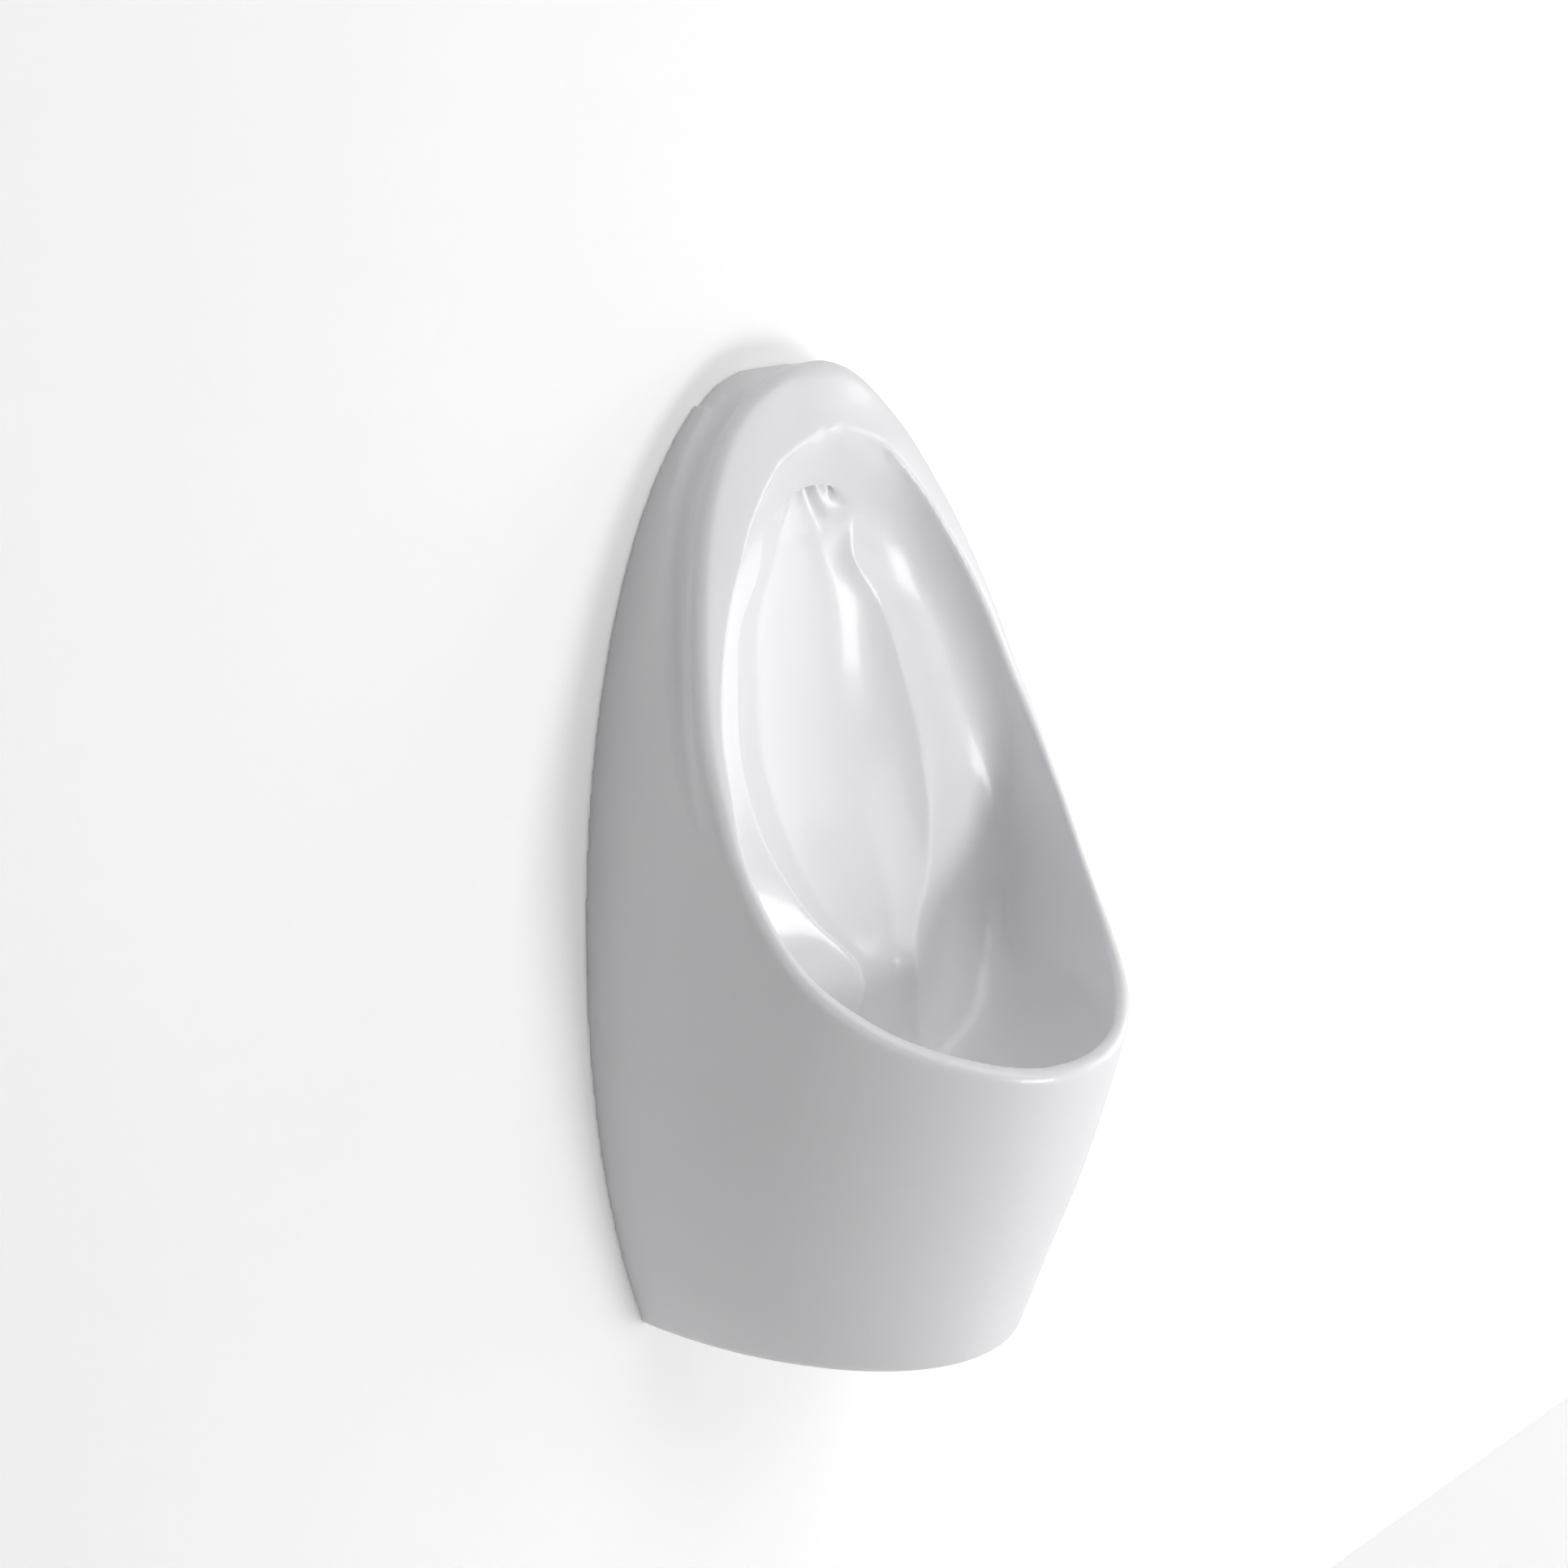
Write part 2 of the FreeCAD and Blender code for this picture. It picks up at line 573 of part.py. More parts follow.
LOWER = "seat_level - floor_thick - lower_gasket_thick"
waste_flange = turned("waste_flange", [
    ("waste_bore", "waste_bottom"), ("waste_radius", "waste_bottom"),
    ("waste_radius", "seat_level + gasket_thick"), ("flange_radius", "seat_level + gasket_thick"),
    ("flange_radius", "seat_level + gasket_thick + 1.5"),
    ("flange_radius - 2", "seat_level + gasket_thick + flange_thick"),
    ("dome_base_radius + 1", "seat_level + gasket_thick + flange_thick"),
    ("dome_base_radius + 0.6", "seat_level + gasket_thick + 1.6"),
    ("waste_bore", "seat_level + gasket_thick + 1.6"),
], y="-drain_front")
waste_gasket_upper = ring("waste_gasket_upper", "flange_radius - 1", "waste_radius + fit_gap", "seat_level",
                          "seat_level + gasket_thick", y="-drain_front")
waste_gasket_lower = ring("waste_gasket_lower", "flange_radius + 1", "waste_radius + fit_gap", LOWER,
                          "seat_level - floor_thick", y="-drain_front")
waste_washer = ring("waste_washer", "flange_radius", "waste_radius + fit_gap", LOWER + " - washer_thick",
                    LOWER, y="-drain_front")
waste_nut = hexagon("waste_nut", "waste_nut_radius", "waste_radius + 0.1", "waste_nut_thick", "-drain_front",
                    LOWER + " - washer_thick - waste_nut_thick")

# strainer: a domed cap with rings of holes and a spigot that sits loosely in the waste
GRID_SEAT = "seat_level + gasket_thick + 1.6"
dome_rise = "(dome_sphere_radius - sqrt(dome_sphere_radius ^ 2 - dome_base_radius ^ 2))"
dome_centre = GRID_SEAT + " + 1.2 + " + dome_rise + " - dome_sphere_radius"
dome_out = bind(doc.addObject("Part::Sphere", "dome_out"), Radius="dome_sphere_radius")
at(dome_out, "0", "-drain_front", dome_centre)
dome_in = bind(doc.addObject("Part::Sphere", "dome_in"), Radius="dome_sphere_radius - dome_thick")
at(dome_in, "0", "-drain_front", dome_centre)
dome_shell = cut("dome_shell", dome_out, dome_in)
dome_column = cylinder("dome_column", "dome_base_radius", "30", "0", "-drain_front",
                       GRID_SEAT + " + 0.2")
dome = doc.addObject("Part::MultiCommon", "dome")
dome.Shapes = [dome_shell, dome_column]
dome_foot_out = cylinder("dome_foot_out", "dome_base_radius", "1.4", "0", "-drain_front", GRID_SEAT)
dome_foot_in = cylinder("dome_foot_in", "dome_base_radius - 3.2", "1.4", "0", "-drain_front", GRID_SEAT)
dome_foot = cut("dome_foot", dome_foot_out, dome_foot_in)
spigot_out = cylinder("spigot_out", "spigot_radius", "spigot_length + 8", "0", "-drain_front",
                      GRID_SEAT + " - spigot_length")
spigot_in = cylinder("spigot_in", "spigot_radius - spigot_wall", "spigot_length + 8", "0", "-drain_front",
                     GRID_SEAT + " - spigot_length")
spigot = cut("spigot", spigot_out, spigot_in)
grid_holes = [cylinder("grid_hole_0", "grid_hole_radius", "60", "0", "-drain_front", GRID_SEAT + " - 20")]
for ring_radius, count in ((8.5, 6), (23.5, 14)):
    for k in range(count):
        turn = 360 * k / count
        hole = cylinder("grid_hole_%d_%d" % (count, k), "grid_hole_radius", "60",
                        "%g * cos(%g deg)" % (ring_radius, turn),
                        "-drain_front + %g * sin(%g deg)" % (ring_radius, turn), GRID_SEAT + " - 20")
        grid_holes.append(hole)
strainer = cut("strainer_grid", fused("strainer_solid", [dome, dome_foot, spigot]),
               fused("strainer_holes", grid_holes))

# ------------------------------------------------------------------ bottle trap

trap_out = cylinder("trap_out", "trap_radius", "trap_top - trap_bottom", "0", "-drain_front", "trap_bottom")
neck_out = cylinder("neck_out", "neck_radius", "neck_top - trap_top + 1", "0", "-drain_front", "trap_top - 1")
branch_out = cylinder("branch_out", "branch_radius", "drain_front - socket_end - 10", "0",
                      "-socket_end - 1", "outlet_level", True)
socket_out = cylinder("socket_out", "socket_radius", "socket_length", "0", "-socket_end",
                      "outlet_level", True)
chamber = cylinder("chamber", "trap_radius - trap_wall", "trap_top - trap_bottom - trap_wall + 1", "0",
                   "-drain_front", "trap_bottom - 1")
neck_in = cylinder("neck_in", "neck_bore", "neck_top - trap_top + 1", "0", "-drain_front",
                   "trap_top + 2")
neck_pass = cylinder("neck_pass", "dip_radius + fit_gap", "20", "0", "-drain_front", "trap_top - 10")
branch_in = cylinder("branch_in", "pipe_bore", "drain_front - pipe_end - 10", "0", "-pipe_end",
                     "outlet_level", True)
socket_in = cylinder("socket_in", "pipe_radius + fit_gap", "pipe_end - socket_end + 2", "0",
                     "-socket_end + 1", "outlet_level", True)
trap_body = cut("trap_body", fused("trap_solid", [trap_out, neck_out, branch_out, socket_out]),
                fused("trap_spaces", [chamber, neck_in, neck_pass, branch_in, socket_in]))
trap_dip_tube = turned("trap_dip_tube", [
    ("dip_radius - dip_wall", "dip_bottom"), ("dip_radius", "dip_bottom"), ("dip_radius", "trap_top + 2"),
    ("neck_bore - fit_gap", "trap_top + 2"), ("neck_bore - fit_gap", "trap_top + 2 + dip_flange_thick"),
    ("dip_radius - dip_wall", "trap_top + 2 + dip_flange_thick"),
], y="-drain_front")
trap_seal = turned("trap_seal", [
    ("waste_radius + 0.05", "neck_top"), ("neck_radius - 0.5", "neck_top"),
    ("neck_radius - 2.5", "neck_top + trap_seal_thick"), ("waste_radius + 0.05", "neck_top + trap_seal_thick"),
], y="-drain_front")
trap_nut = turned("trap_nut", [
    ("neck_radius + fit_gap", "trap_top + 1.5"), ("trap_nut_radius", "trap_top + 1.5"),
    ("trap_nut_radius", "neck_top + trap_seal_thick + 2.5"),
    ("trap_nut_radius - 1.5", "neck_top + trap_seal_thick + 4"),
    ("waste_radius + 0.7", "neck_top + trap_seal_thick + 4"),
    ("waste_radius + 0.7", "neck_top + trap_seal_thick"),
    ("neck_radius + fit_gap", "neck_top + trap_seal_thick"),
], y="-drain_front")
trap_cup = turned("trap_cup", [
    ("0", "cup_bottom"), ("trap_radius - trap_wall", "cup_bottom"), ("cup_radius", "cup_bottom + 6"),
    ("cup_radius", "cup_top"), ("trap_radius + fit_gap", "cup_top"),
    ("trap_radius + fit_gap", "trap_bottom - cup_ring_thick - 0.2"),
    ("trap_radius - trap_wall", "trap_bottom - cup_ring_thick - 0.2"),
    ("trap_radius - trap_wall", "cup_bottom + 8"), ("trap_radius - trap_wall - 5", "cup_bottom + cup_floor"),
    ("0", "cup_bottom + cup_floor"),
], y="-drain_front")
trap_cup_ring = ring("trap_cup_ring", "trap_radius", "trap_radius - trap_wall + 0.2",
                     "trap_bottom - cup_ring_thick - 0.2", "trap_bottom - 0.2", y="-drain_front")

# ------------------------------------------------------------------ outlet pipe

outlet_pipe = turned("outlet_pipe", [
    ("pipe_bore", "0"), ("pipe_radius", "0"), ("pipe_radius", "pipe_free"),
    ("pipe_radius - spigot_step", "pipe_free"), ("pipe_radius - spigot_step", "pipe_end - 1"),
    ("pipe_bore", "pipe_end - 1"),
], front=True, z="outlet_level")
outlet_seal = ring("outlet_seal", "socket_radius - 0.5", "pipe_radius - spigot_step + 0.05",
                   "socket_end - outlet_seal_thick", "socket_end", front=True, z="outlet_level")
outlet_nut = turned("outlet_nut", [
    ("pipe_radius + 0.5", "socket_end - outlet_seal_thick - outlet_lip_thick"),
    ("outlet_nut_radius - 1.5", "socket_end - outlet_seal_thick - outlet_lip_thick"),
    ("outlet_nut_radius", "socket_end - outlet_seal_thick - outlet_lip_thick + 1.5"),
    ("outlet_nut_radius", "socket_end + 12"), ("socket_radius + fit_gap", "socket_end + 12"),
    ("socket_radius + fit_gap", "socket_end - outlet_seal_thick"),
    ("pipe_radius + 0.5", "socket_end - outlet_seal_thick"),
], front=True, z="outlet_level")

# ------------------------------------------------------------------ hangers


def hanger(name, middle):
    """A bent steel hook: plate on the wall with two screw holes, shelf, upright tongue."""
    bracket = doc.addObject("PartDesign::Body", name)
    profile = outline(bracket, "YZ_Plane", name + "_profile", [
        ("0", "hanger_bottom"), ("0", "shelf_level"), ("-hook_front", "shelf_level"),
        ("-hook_front", "hook_top"), ("-hook_front - hanger_steel", "hook_top"),
        ("-hook_front - hanger_steel", "shelf_level - hanger_steel"),
        ("-hanger_steel", "shelf_level - hanger_steel"), ("-hanger_steel", "hanger_bottom"),
    ])
    pad = bracket.newObject("PartDesign::Pad", name + "_pad")
    pad.Profile = profile
    bind(pad, Length="hanger_width")
    pad.Midplane = True
    doc.recompute()
    spots = bracket.newObject("Sketcher::SketchObject", name + "_screw_spots")
    plane = [f for f in bracket.Origin.OriginFeatures if f.Role == "XZ_Plane"][0]
    spots.AttachmentSupport = (plane, "")
    spots.MapMode = "FlatFace"
    for number, level in enumerate(("screw_low", "screw_high")):
        spots.addGeometry(Part.Circle(FreeCAD.Vector(0, size(level), 0), FreeCAD.Vector(0, 0, 1), 3), False)
        spots.addConstraint(Sketcher.Constraint("PointOnObject", number, 3, -2))
        for kind, target, text in (("DistanceY", None, level), ("Radius", number, "screw_hole_radius")):
            if target is None:
                made = spots.addConstraint(Sketcher.Constraint(kind, -1, 1, number, 3, size(text)))
            else:
                made = spots.addConstraint(Sketcher.Constraint(kind, target, size(text)))
            spots.setExpression("Constraints[%d]" % made, bound(text))
    holes = bracket.newObject("PartDesign::Pocket", name + "_screw_holes")
    holes.Profile = spots
    holes.Midplane = True
    bind(holes, Length="4 * hanger_steel")
    return at(bracket, middle)


hanger_right = hanger("hanger_bracket_right", "hanger_offset")
hanger_left = hanger("hanger_bracket_left", "-hanger_offset")
pads = [box("pad_" + name, "hanger_width - 4", "pad_depth", "pad_thick", middle + " - hanger_width / 2 + 2",
            "-pad_depth - 2", "shelf_level")
        for name, middle in (("right", "hanger_offset"), ("left", "-hanger_offset"))]
hanger_pads = fused("hanger_pads", pads)

doc.recompute()

# ------------------------------------------------------------------ hand over

# the origin moves from the body's bottom edge to the middle of the four wall screws
NODES = ["ceramic_body", "inlet_tail", "inlet_gasket", "spray_gasket", "spray_nut", "spray_head",
         "waste_flange", "waste_gasket_upper", "waste_gasket_lower", "waste_washer", "waste_nut",
         "strainer_grid", "trap_body", "trap_dip_tube", "trap_seal", "trap_nut", "trap_cup",
         "trap_cup_ring", "outlet_pipe", "outlet_seal", "outlet_nut", "hanger_bracket_right",
         "hanger_bracket_left", "hanger_pads"]
for name in NODES:
    node = doc.getObject(name)
    links = {path.lstrip("."): text for path, text in node.ExpressionEngine}
    node.setExpression("Placement.Base.z", links.get("Placement.Base.z", "0") + " - Sizes.origin_level")
doc.recompute()
for thing in doc.Objects:
    if "Invalid" in thing.State or "Error" in thing.State:
        raise ValueError("not computed: " + thing.Name)
for name in NODES:
    node = doc.getObject(name)
    node.Label = name
    if node.Shape.isNull() or not node.Shape.isValid():
        raise ValueError("bad shape: " + name)
    node.Shape.exportStep("parts/" + name + ".step")
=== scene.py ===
import math

import bpy
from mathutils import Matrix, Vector


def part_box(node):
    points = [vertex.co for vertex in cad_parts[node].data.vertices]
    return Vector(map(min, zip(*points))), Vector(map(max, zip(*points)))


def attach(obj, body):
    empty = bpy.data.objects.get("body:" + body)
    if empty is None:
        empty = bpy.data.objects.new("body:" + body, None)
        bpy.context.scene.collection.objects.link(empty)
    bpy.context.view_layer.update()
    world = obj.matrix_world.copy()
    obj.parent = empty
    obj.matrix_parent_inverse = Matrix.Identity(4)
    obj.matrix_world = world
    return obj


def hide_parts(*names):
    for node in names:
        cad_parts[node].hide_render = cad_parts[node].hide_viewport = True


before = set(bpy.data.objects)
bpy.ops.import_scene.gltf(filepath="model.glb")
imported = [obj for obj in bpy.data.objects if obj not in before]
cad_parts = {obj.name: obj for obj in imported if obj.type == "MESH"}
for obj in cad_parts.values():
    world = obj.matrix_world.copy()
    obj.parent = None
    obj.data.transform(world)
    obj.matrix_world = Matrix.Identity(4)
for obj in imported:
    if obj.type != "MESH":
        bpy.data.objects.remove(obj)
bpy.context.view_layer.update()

# ---------------------------------------------------------------- view and light
# The urinal hangs on a plain white wall and is seen from its left front, a little from above, in
# the soft light of a studio: a large lamp above the front, a low one that lights the belly, one
# on the right, and pale all round.

VIEW_TURN = math.radians(48)
VIEW_DOWN = math.radians(15.482)
VIEW_PLACE = (-1.4573, -1.3296, 0.4538)
VIEW_LENS = 68.2
FILM_WIDTH = 36
NEAREST_SEEN = 0.05

bpy.ops.object.select_all(action="DESELECT")
bpy.ops.object.camera_add(location=VIEW_PLACE,
                          rotation=(math.pi / 2 - VIEW_DOWN, 0, -VIEW_TURN))
camera = bpy.context.object
camera.name = "photo_camera"
camera.data.lens = VIEW_LENS
camera.data.sensor_width = FILM_WIDTH
camera.data.clip_start = NEAREST_SEEN
bpy.context.scene.camera = camera
bpy.context.scene.view_settings.view_transform = "Standard"


def soft_lamp(name, place, target, width, height, watts):
    """A large lamp that faces a target."""
    bpy.ops.object.light_add(type="AREA", location=place)
    lamp = bpy.context.object
    lamp.name = name
    lamp.data.shape = "RECTANGLE"
    lamp.data.size = width
    lamp.data.size_y = height
    lamp.data.energy = watts
    towards = Vector(target) - Vector(place)
    lamp.rotation_euler = towards.to_track_quat("-Z", "Y").to_euler()


BODY_MIDDLE = (0, -0.12, -0.12)
soft_lamp("lamp_above", (0.335, -2.023, 1.62), BODY_MIDDLE, 2, 2, 23)
soft_lamp("lamp_low", (0.615, -2.588, -0.66), BODY_MIDDLE, 0.8, 0.8, 22)
soft_lamp("lamp_right", (2.356, -1.219, -0.12), BODY_MIDDLE, 1.6, 1.6, 15)

AMBIENT = 0.15
studio = bpy.data.worlds.new("studio")
studio.use_nodes = True
bpy.context.scene.world = studio
nodes, links = studio.node_tree.nodes, studio.node_tree.links
nodes.clear()
world_out = nodes.new("ShaderNodeOutputWorld")
paths = nodes.new("ShaderNodeLightPath")
seen = nodes.new("ShaderNodeMath")
seen.operation = "MAXIMUM"
seen_through = nodes.new("ShaderNodeMath")
seen_through.operation = "MAXIMUM"
pale = nodes.new("ShaderNodeBackground")
pale.inputs["Color"].default_value = (1, 1, 1, 1)
pale.inputs["Strength"].default_value = 1
soft = nodes.new("ShaderNodeBackground")
soft.inputs["Color"].default_value = (1, 1, 1, 1)
soft.inputs["Strength"].default_value = AMBIENT
pick = nodes.new("ShaderNodeMixShader")
links.new(paths.outputs["Is Camera Ray"], seen.inputs[0])
links.new(paths.outputs["Is Glossy Ray"], seen.inputs[1])
links.new(seen.outputs[0], seen_through.inputs[0])
links.new(paths.outputs["Is Transmission Ray"], seen_through.inputs[1])
links.new(seen_through.outputs[0], pick.inputs["Fac"])
links.new(soft.outputs[0], pick.inputs[1])
links.new(pale.outputs[0], pick.inputs[2])
links.new(pick.outputs[0], world_out.inputs["Surface"])

# ---------------------------------------------------------------- wall and floor
# A white painted wall that the urinal hangs on, and a pale floor below it. Both are seen only from
# the room's side, so that the back of the part can be looked at too.

WALL_GAP = 0.0006
WALL_MIDDLE_LEVEL = 0.75
FLOOR_LEVEL = -1.05
ROOM_WIDTH = 5
PAINT_SHADE = 0.9
LIFT = 0.22


def room_paint(name, shade):
    """Matt paint, lifted for the camera so that it shows white where it is fully lit."""
    paint = bpy.data.materials.new(name)
    paint.use_nodes = True
    nodes, links = paint.node_tree.nodes, paint.node_tree.links
    nodes.clear()
    out = nodes.new("ShaderNodeOutputMaterial")
    matt = nodes.new("ShaderNodeBsdfDiffuse")
    matt.inputs["Color"].default_value = (shade, shade, shade, 1)
    glow = nodes.new("ShaderNodeEmission")
    glow.inputs["Color"].default_value = (1, 1, 1, 1)
    paths = nodes.new("ShaderNodeLightPath")
    lift = nodes.new("ShaderNodeMath")
    lift.operation = "MULTIPLY"
    lift.inputs[1].default_value = LIFT
    links.new(paths.outputs["Is Camera Ray"], lift.inputs[0])
    links.new(lift.outputs[0], glow.inputs["Strength"])
    both = nodes.new("ShaderNodeAddShader")
    links.new(matt.outputs[0], both.inputs[0])
    links.new(glow.outputs[0], both.inputs[1])
    clear = nodes.new("ShaderNodeBsdfTransparent")
    side = nodes.new("ShaderNodeNewGeometry")
    pick = nodes.new("ShaderNodeMixShader")
    links.new(side.outputs["Backfacing"], pick.inputs["Fac"])
    links.new(both.outputs[0], pick.inputs[1])
    links.new(clear.outputs[0], pick.inputs[2])
    links.new(pick.outputs[0], out.inputs["Surface"])
    return paint


bpy.ops.mesh.primitive_plane_add(size=ROOM_WIDTH, location=(0, WALL_GAP, WALL_MIDDLE_LEVEL),
                                 rotation=(math.pi / 2, 0, 0))
wall = bpy.context.object
wall.name = "wall"
wall.data.materials.append(room_paint("wall_paint", PAINT_SHADE))
bpy.ops.mesh.primitive_plane_add(size=ROOM_WIDTH,
                                 location=(0, WALL_GAP - ROOM_WIDTH / 2, FLOOR_LEVEL))
floor = bpy.context.object
floor.name = "floor"
floor.data.materials.append(room_paint("floor_paint", PAINT_SHADE))

# ---------------------------------------------------------------- ceramic body
# The fired body: one piece of white sanitary china with a clear glaze, cast hollow and open at the
# back and underneath. Two lugs inside it rest on steel hooks. The glaze is glossy, with a faint
# peel.

MERGE_DISTANCE = 0.000001
CHINA_STEP = 0.002
CHINA_TRIANGLES = 190000


def china_glaze():
    """White glaze, a little cloudy in tint and gloss, with the faint peel of a sprayed coat."""
    glaze = bpy.data.materials.new("white_glaze")
    glaze.use_nodes = True
    nodes, links = glaze.node_tree.nodes, glaze.node_tree.links
    shader = nodes["Principled BSDF"]
    shader.inputs["IOR"].default_value = 1.5
    shader.inputs["Coat Weight"].default_value = 0.2
    shader.inputs["Coat Roughness"].default_value = 0.06
    place = nodes.new("ShaderNodeTexCoord")
    cloud = nodes.new("ShaderNodeTexNoise")
    cloud.inputs["Scale"].default_value = 5
    cloud.inputs["Detail"].default_value = 3
    tint = nodes.new("ShaderNodeValToRGB")
    tint.color_ramp.elements[0].color = (0.878, 0.878, 0.897, 1)
    tint.color_ramp.elements[1].color = (0.892, 0.892, 0.912, 1)
    links.new(place.outputs["Object"], cloud.inputs["Vector"])
    links.new(cloud.outputs["Fac"], tint.inputs["Fac"])
    links.new(tint.outputs["Color"], shader.inputs["Base Color"])
    gloss = nodes.new("ShaderNodeMapRange")
    gloss.inputs["To Min"].default_value = 0.28
    gloss.inputs["To Max"].default_value = 0.34
    links.new(cloud.outputs["Fac"], gloss.inputs["Value"])
    links.new(gloss.outputs["Result"], shader.inputs["Roughness"])
    peel = nodes.new("ShaderNodeTexNoise")
    peel.inputs["Scale"].default_value = 60
    peel.inputs["Detail"].default_value = 1
    links.new(place.outputs["Object"], peel.inputs["Vector"])
    bump = nodes.new("ShaderNodeBump")
    bump.inputs["Strength"].default_value = 0.03
    bump.inputs["Distance"].default_value = 0.001
    links.new(peel.outputs["Fac"], bump.inputs["Height"])
    links.new(bump.outputs["Normal"], shader.inputs["Normal"])
    return glaze


white_glaze = china_glaze()


def copy_of(node, name):
    """A copy of a node's mesh with its triangles joined."""
    bpy.ops.object.select_all(action="DESELECT")
    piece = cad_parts[node].copy()
    piece.data = piece.data.copy()
    piece.name = name
    piece.parent = None
    bpy.context.collection.objects.link(piece)
    piece.data.materials.clear()
    bpy.context.view_layer.objects.active = piece
    piece.select_set(True)
    bpy.ops.object.mode_set(mode="EDIT")
    bpy.ops.mesh.select_all(action="SELECT")
    bpy.ops.mesh.remove_doubles(threshold=MERGE_DISTANCE)
    bpy.ops.object.mode_set(mode="OBJECT")
    return piece


def add_modifier(piece, kind, **settings):
    """Adds a modifier with its settings and applies it."""
    made = piece.modifiers.new(kind.lower(), kind)
    for key, setting in settings.items():
        setattr(made, key, setting)
    bpy.ops.object.modifier_apply(modifier=made.name)


china = copy_of("ceramic_body", "china_body")
add_modifier(china, "REMESH", mode="VOXEL", voxel_size=CHINA_STEP)
add_modifier(china, "SMOOTH", factor=0.5, iterations=4)
add_modifier(china, "DECIMATE", ratio=min(1, CHINA_TRIANGLES / (2 * len(china.data.polygons))))
bpy.ops.object.shade_smooth_by_angle(angle=math.radians(50))
china.data.materials.append(white_glaze)
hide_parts("ceramic_body")
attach(china, "urinal")

# ---------------------------------------------------------------- hangers
# Two hooks bent from 4 mm steel strip and zinc plated, each with two holes for 6 mm wall screws,
# and a rubber pad on each shelf that keeps the steel off the china.


def surface(name, shades, roughness, scale, grain, metallic=0.0, bump_strength=0.1):
    """A material whose colour and gloss are cloudy at one scale, with a finer grain on it."""
    made = bpy.data.materials.new(name)
    made.use_nodes = True
    nodes, links = made.node_tree.nodes, made.node_tree.links
    shader = nodes["Principled BSDF"]
    shader.inputs["Metallic"].default_value = metallic
    place = nodes.new("ShaderNodeTexCoord")
    cloud = nodes.new("ShaderNodeTexNoise")
    cloud.inputs["Scale"].default_value = scale
    cloud.inputs["Detail"].default_value = 4
    links.new(place.outputs["Object"], cloud.inputs["Vector"])
    tint = nodes.new("ShaderNodeValToRGB")
    tint.color_ramp.elements[0].position = 0.3
    tint.color_ramp.elements[0].color = (*shades[0], 1)
    tint.color_ramp.elements[1].position = 0.7
    tint.color_ramp.elements[1].color = (*shades[1], 1)
    links.new(cloud.outputs["Fac"], tint.inputs["Fac"])
    links.new(tint.outputs["Color"], shader.inputs["Base Color"])
    gloss = nodes.new("ShaderNodeMapRange")
    gloss.inputs["To Min"].default_value = roughness[0]
    gloss.inputs["To Max"].default_value = roughness[1]
    links.new(cloud.outputs["Fac"], gloss.inputs["Value"])
    links.new(gloss.outputs["Result"], shader.inputs["Roughness"])
    fine = nodes.new("ShaderNodeTexNoise")
    fine.inputs["Scale"].default_value = grain
    fine.inputs["Detail"].default_value = 2
    links.new(place.outputs["Object"], fine.inputs["Vector"])
    bump = nodes.new("ShaderNodeBump")
    bump.inputs["Strength"].default_value = bump_strength
    bump.inputs["Distance"].default_value = 0.0004
    links.new(fine.outputs["Fac"], bump.inputs["Height"])
    links.new(bump.outputs["Normal"], shader.inputs["Normal"])
    return made


def eased_copy(node, name, body, material, ease=0.0, sharp_angle=40):
    """A copy of a node with its edges eased, as a tool or a mould leaves them."""
    piece = copy_of(node, name)
    bpy.ops.object.mode_set(mode="EDIT")
    bpy.ops.mesh.select_all(action="SELECT")
    bpy.ops.mesh.dissolve_limited(angle_limit=math.radians(0.5))
    bpy.ops.object.mode_set(mode="OBJECT")
    if ease:
        add_modifier(piece, "BEVEL", width=ease, segments=2, limit_method="ANGLE",
                     angle_limit=math.radians(sharp_angle))
    bpy.ops.object.shade_smooth_by_angle(angle=math.radians(sharp_angle))
    piece.data.materials.append(material)
    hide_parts(node)
    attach(piece, body)
    return piece


zinc_plate = surface("zinc_plate", ((0.5, 0.52, 0.55), (0.68, 0.69, 0.7)), (0.28, 0.42),
                     90, 900, metallic=1.0, bump_strength=0.15)
black_rubber = surface("black_rubber", ((0.022, 0.022, 0.023), (0.04, 0.04, 0.041)), (0.62, 0.8),
                       60, 1500, bump_strength=0.2)
SHELF_BEND = 0.002
STRIP_EDGE = 0.0004
LEAST_BEND_WIDTH = 0.03
ON_FACE = 1e-5
PLATE_TOP_ABOVE = 0.02
TONGUE_TOP_ZONE = 0.01
for side in ("right", "left"):
    hook = eased_copy("hanger_bracket_" + side, "hook_" + side, "urinal", zinc_plate)
    bpy.ops.object.mode_set(mode="EDIT")
    bpy.ops.mesh.select_all(action="DESELECT")
    bpy.ops.object.mode_set(mode="OBJECT")
    top = max(corner.co.z for corner in hook.data.vertices)
    front = min(corner.co.y for corner in hook.data.vertices)
    for edge in hook.data.edges:
        ends = [hook.data.vertices[corner].co for corner in edge.vertices]
        across = abs(ends[0].x - ends[1].x) > LEAST_BEND_WIDTH
        at_wall = abs(ends[0].y) < ON_FACE and ends[0].z > PLATE_TOP_ABOVE
        at_front = abs(ends[0].y - front) < ON_FACE and ends[0].z < top - TONGUE_TOP_ZONE
        edge.select = across and (at_wall or at_front)
    bpy.ops.object.mode_set(mode="EDIT")
    bpy.ops.mesh.select_mode(type="EDGE")
    bpy.ops.mesh.bevel(offset=SHELF_BEND, segments=5)
    bpy.ops.object.mode_set(mode="OBJECT")
    add_modifier(hook, "BEVEL", width=STRIP_EDGE, segments=2, limit_method="ANGLE",
                 angle_limit=math.radians(50))
    bpy.ops.object.shade_smooth_by_angle(angle=math.radians(40))
eased_copy("hanger_pads", "shelf_pads", "urinal", black_rubber, 0.0005)

